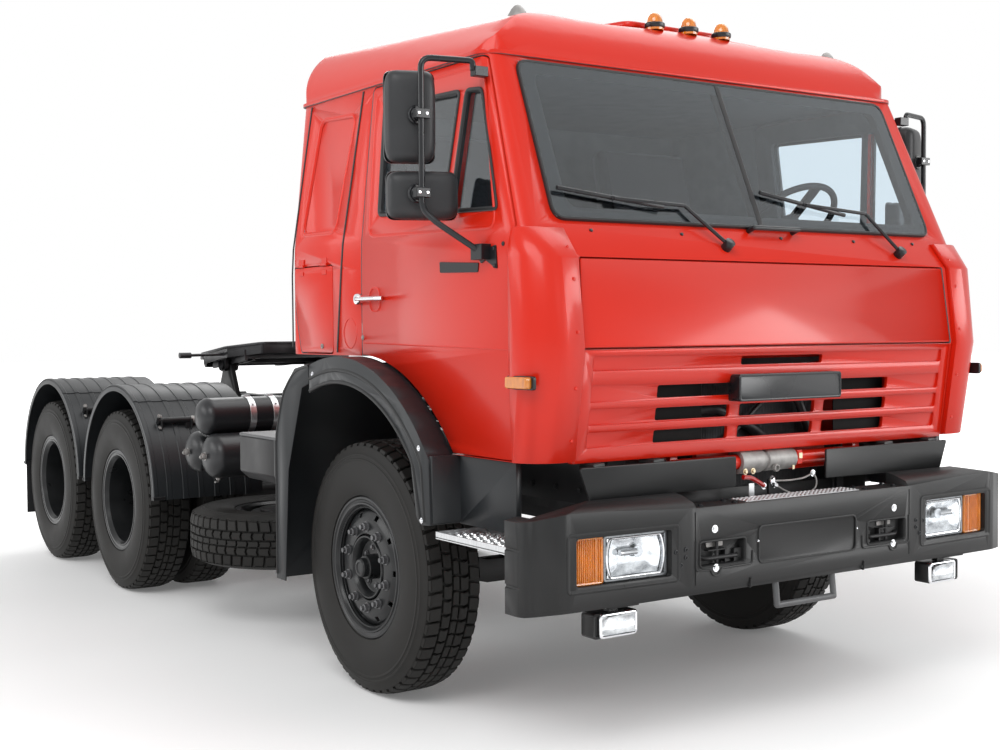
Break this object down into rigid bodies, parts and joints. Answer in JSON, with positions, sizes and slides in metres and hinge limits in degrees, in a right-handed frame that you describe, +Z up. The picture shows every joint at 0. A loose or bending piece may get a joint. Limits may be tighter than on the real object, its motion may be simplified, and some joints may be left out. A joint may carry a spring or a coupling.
{
  "type": "semi truck tractor unit",
  "caption": "Cab-over road tractor with sleeper cab, tandem drive axles with twin tyres and a coupling plate for a semitrailer.",
  "frame": {"origin": "on the ground under the middle of the overall length, on the centre plane", "axes": "-Y forward (towards the bumper), +X the vehicle's left (driver's) side, +Z up"},
  "size_m": [2.8598, 6.2, 2.8051],
  "materials": {
    "cab_paint": "gloss orange-red enamel",
    "frame_paint": "satin black",
    "machinery": "dull dark grey",
    "trim_grey": "satin dark grey",
    "clear_lens": "clear",
    "amber_lens": "amber, clear gloss",
    "red_lens": "red, clear gloss",
    "step_metal": "pressed tread plate",
    "tank_black": "semi-gloss black",
    "tyre": "brown-black tread rubber",
    "rim_black": "satin black",
    "coupler": "greased black",
    "seal_rubber": "matt",
    "window_glass": "lightly tinted",
    "wiper_black": "black",
    "seat_fabric": "dark woven",
    "dash_plastic": "grained"
  },
  "bodies": {
    "chassis": {"chassis_frame": "frame_paint", "powertrain": "machinery", "front_axle": "frame_paint", "leaf_springs": "frame_paint", "drive_axles": "frame_paint", "front_bumper": "trim_grey", "lamp_lenses": "clear_lens", "turn_lenses": "amber_lens", "rear_lamps": "red_lens", "side_steps": "step_metal", "front_mudguards": "trim_grey", "rear_fenders": "trim_grey", "air_tanks": "tank_black", "battery_box": "tank_black", "fuel_tank": "tank_black", "spare_tyre": "tyre", "spare_rim": "rim_black", "fifth_wheel_stand": "frame_paint", "air_intake": "tank_black"},
    "fifth_wheel": {"fifth_wheel_plate": "coupler"},
    "knuckle_right": {"knuckle_right": "frame_paint"},
    "knuckle_left": {"knuckle_left": "frame_paint"},
    "tie_rod": {"tie_rod": "frame_paint"},
    "front_wheel_right": {"front_tyre_right": "tyre", "front_rim_right": "rim_black"},
    "front_wheel_left": {"front_tyre_left": "tyre", "front_rim_left": "rim_black"},
    "middle_wheel_right": {"middle_tyres_right": "tyre", "middle_rims_right": "rim_black"},
    "middle_wheel_left": {"middle_tyres_left": "tyre", "middle_rims_left": "rim_black"},
    "rear_wheel_right": {"rear_tyres_right": "tyre", "rear_rims_right": "rim_black"},
    "rear_wheel_left": {"rear_tyres_left": "tyre", "rear_rims_left": "rim_black"},
    "cab": {"cab_shell": "cab_paint", "grille_panel": "cab_paint", "corner_panels": "cab_paint", "windscreen_seal": "seal_rubber", "windscreen_glass": "window_glass", "wipers": "wiper_black", "cab_arches": "trim_grey", "valances": "trim_grey", "roof_hatch": "cab_paint", "roof_lamps": "amber_lens", "seats": "seat_fabric", "dashboard": "dash_plastic"},
    "steering_wheel": {"steering_wheel": "dash_plastic"},
    "front_lid": {"front_lid": "cab_paint"},
    "door_right": {"door_right": "cab_paint", "door_glass_right": "window_glass", "mirror_right": "wiper_black"},
    "door_left": {"door_left": "cab_paint", "door_glass_left": "window_glass", "mirror_left": "wiper_black"},
    "locker_lid_right": {"locker_lid_right": "cab_paint"},
    "locker_lid_left": {"locker_lid_left": "cab_paint"}
  },
  "joints": [
    {"name": "steer_right", "type": "hinge", "parent": "chassis", "child": "knuckle_right", "pos_m": [-0.88, -1.725, 0.52], "axis": [0, 0, 1], "range_deg": [-39, 39]},
    {"name": "steer_left", "type": "hinge", "parent": "chassis", "child": "knuckle_left", "pos_m": [0.88, -1.725, 0.52], "axis": [0, 0, 1], "range_deg": [-39, 39]},
    {"name": "tie_rod_pivot", "type": "hinge", "parent": "knuckle_right", "child": "tie_rod", "pos_m": [-0.88, -1.555, 0.426], "axis": [0, 0, 1], "range_deg": [-39, 39]},
    {"name": "spin_front_right", "type": "hinge", "parent": "knuckle_right", "child": "front_wheel_right", "pos_m": [-1.015, -1.725, 0.52], "axis": [1, 0, 0], "continuous": true},
    {"name": "spin_front_left", "type": "hinge", "parent": "knuckle_left", "child": "front_wheel_left", "pos_m": [1.015, -1.725, 0.52], "axis": [1, 0, 0], "continuous": true},
    {"name": "spin_middle_right", "type": "hinge", "parent": "chassis", "child": "middle_wheel_right", "pos_m": [-0.935, 1.115, 0.52], "axis": [1, 0, 0], "continuous": true},
    {"name": "spin_middle_left", "type": "hinge", "parent": "chassis", "child": "middle_wheel_left", "pos_m": [0.935, 1.115, 0.52], "axis": [1, 0, 0], "continuous": true},
    {"name": "spin_rear_right", "type": "hinge", "parent": "chassis", "child": "rear_wheel_right", "pos_m": [-0.935, 2.435, 0.52], "axis": [1, 0, 0], "continuous": true},
    {"name": "spin_rear_left", "type": "hinge", "parent": "chassis", "child": "rear_wheel_left", "pos_m": [0.935, 2.435, 0.52], "axis": [1, 0, 0], "continuous": true},
    {"name": "fifth_wheel_pitch", "type": "hinge", "parent": "chassis", "child": "fifth_wheel", "pos_m": [0, 1.52, 1.275], "axis": [1, 0, 0], "range_deg": [0, 20]},
    {"name": "cab_tilt", "type": "hinge", "parent": "chassis", "child": "cab", "pos_m": [0, -2.89, 0.985], "axis": [1, 0, 0], "range_deg": [0, 60]},
    {"name": "steering_wheel_turn", "type": "hinge", "parent": "cab", "child": "steering_wheel", "pos_m": [0.52, -2.48, 1.933], "axis": [0, 0.6561, 0.7547], "range_deg": [-780, 780]},
    {"name": "door_right_hinge", "type": "hinge", "parent": "cab", "child": "door_right", "pos_m": [-1.15, -2.823, 1.5], "axis": [0, 0, 1], "range_deg": [0, 70]},
    {"name": "door_left_hinge", "type": "hinge", "parent": "cab", "child": "door_left", "pos_m": [1.15, -2.823, 1.5], "axis": [0, 0, -1], "range_deg": [0, 70]},
    {"name": "front_lid_hinge", "type": "hinge", "parent": "cab", "child": "front_lid", "pos_m": [0, -2.947, 1.733], "axis": [-1, 0, 0], "range_deg": [0, 75]},
    {"name": "locker_right_hinge", "type": "hinge", "parent": "cab", "child": "locker_lid_right", "pos_m": [-1.1495, -1.309, 1.764], "axis": [0, 1, 0], "range_deg": [0, 80]},
    {"name": "locker_left_hinge", "type": "hinge", "parent": "cab", "child": "locker_lid_left", "pos_m": [1.1495, -1.309, 1.764], "axis": [0, -1, 0], "range_deg": [0, 80]}
  ],
  "couplings": [
    {"joint": "steer_left", "follows": "steer_right", "ratio": 1},
    {"joint": "tie_rod_pivot", "follows": "steer_right", "ratio": -1},
    {"joint": "steering_wheel_turn", "follows": "steer_right", "ratio": 20}
  ]
}
